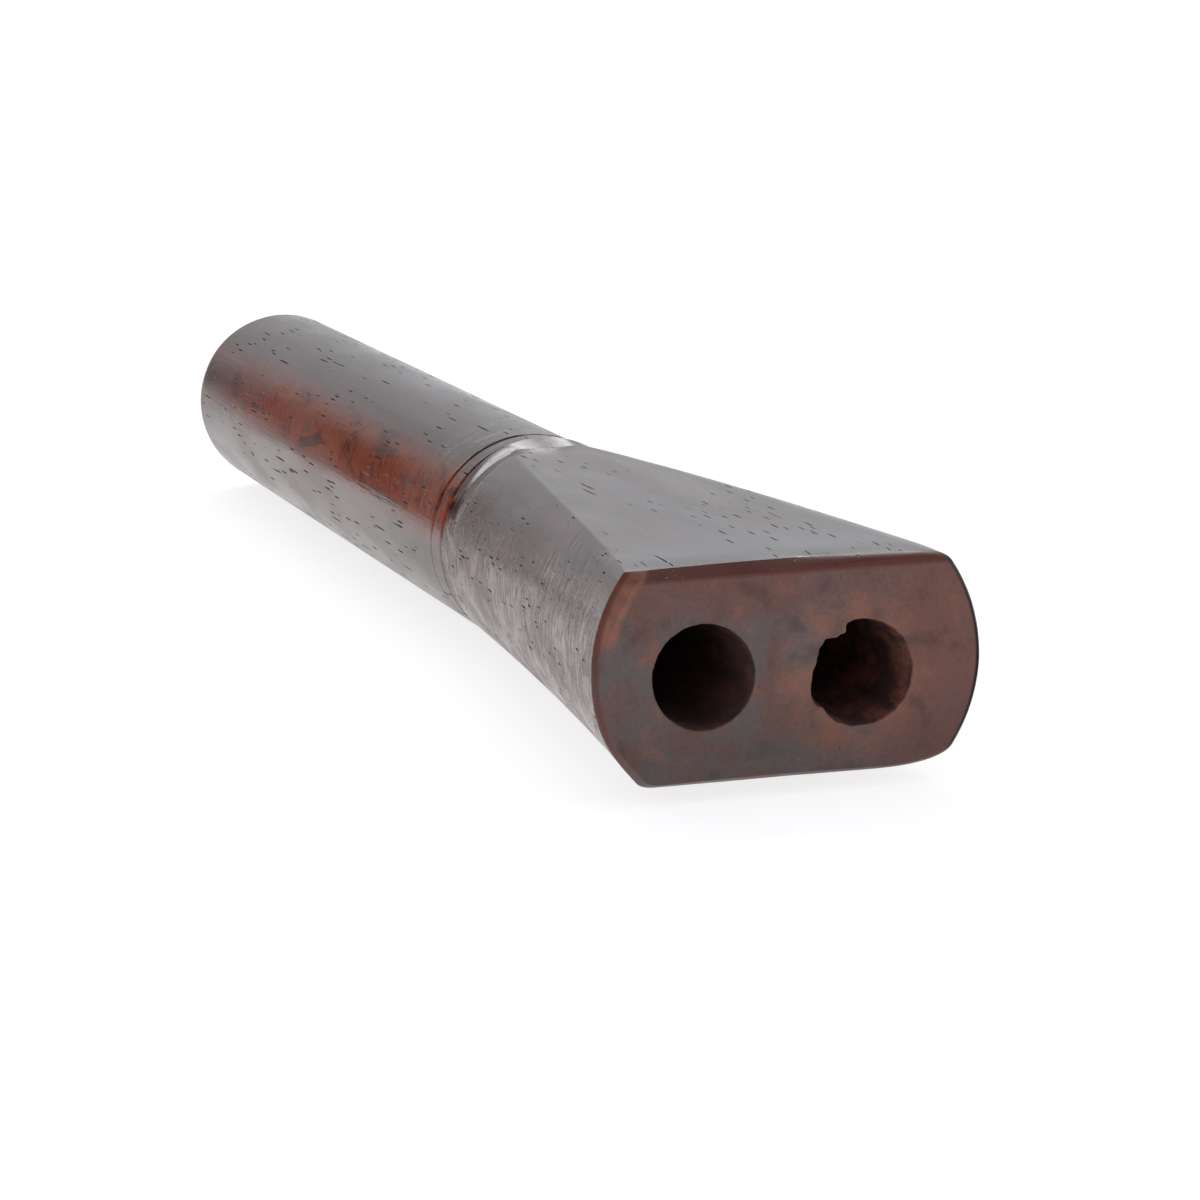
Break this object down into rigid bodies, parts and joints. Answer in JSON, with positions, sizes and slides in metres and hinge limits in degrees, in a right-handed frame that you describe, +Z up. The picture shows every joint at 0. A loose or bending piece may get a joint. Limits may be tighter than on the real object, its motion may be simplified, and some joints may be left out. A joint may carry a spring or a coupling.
{
  "type": "pen holder",
  "caption": "Polished hardwood handle: a round stem that widens, past scribed rings, into a broad flat-sided head with plain round sockets side by side in its end face.",
  "frame": {"origin": "below the middle of the holder, on the surface that it lies on", "axes": "+Y along the stem, from the socketed end face at -Y to the far end; +Z up, square to the flats; +X across the flats"},
  "size_m": [0.0242, 0.125, 0.0146],
  "materials": {
    "head_wood": "polished dark reddish-brown hardwood with open pores, bare end grain on the end face",
    "stem_wood": "polished dark reddish-brown hardwood with open pores and fine sanding marks"
  },
  "bodies": {
    "root": {"head": "head_wood", "stem": "stem_wood"}
  },
  "joints": []
}
